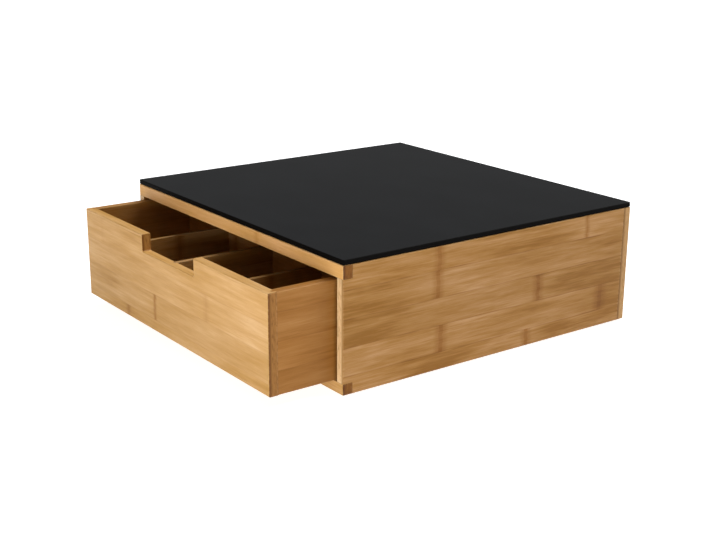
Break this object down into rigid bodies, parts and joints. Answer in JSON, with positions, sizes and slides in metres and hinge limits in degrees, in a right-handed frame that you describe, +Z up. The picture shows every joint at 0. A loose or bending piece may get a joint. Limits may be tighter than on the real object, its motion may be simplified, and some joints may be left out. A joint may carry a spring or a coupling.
{
  "type": "drawer box",
  "caption": "Low tabletop box of pressed bamboo with a black glass top and one notched drawer divided into compartments for wrapped tea bags.",
  "frame": {"origin": "on the table, under the middle of the whole footprint, with the drawer standing 60 mm open as in the picture", "axes": "+X to the right of someone facing the drawer, +Y from the drawer front towards the back, +Z up"},
  "size_m": [0.33, 0.374, 0.1104],
  "materials": {
    "bamboo": "satin clear lacquer over plain-pressed bamboo slats",
    "black_glass": "glossy, back-painted black",
    "adhesive_pad": "clear",
    "foot_rubber": "matte"
  },
  "bodies": {
    "carcass": {"left_side_panel": "bamboo", "right_side_panel": "bamboo", "back_panel": "bamboo", "top_front_rail": "bamboo", "bottom_front_rail": "bamboo", "top_board": "bamboo", "bottom_board": "bamboo", "glass_pads": "adhesive_pad", "glass_top_plate": "black_glass", "rubber_feet": "foot_rubber"},
    "drawer": {"drawer_front": "bamboo", "drawer_back": "bamboo", "drawer_left_side": "bamboo", "drawer_right_side": "bamboo", "drawer_bottom": "bamboo", "long_divider_left": "bamboo", "long_divider_middle": "bamboo", "long_divider_right": "bamboo", "cross_divider_front": "bamboo", "cross_divider_rear": "bamboo"}
  },
  "joints": [
    {"name": "drawer_slide", "type": "slide", "parent": "carcass", "child": "drawer", "axis": [0, -1, 0], "range_m": [-0.06, 0.205]}
  ]
}
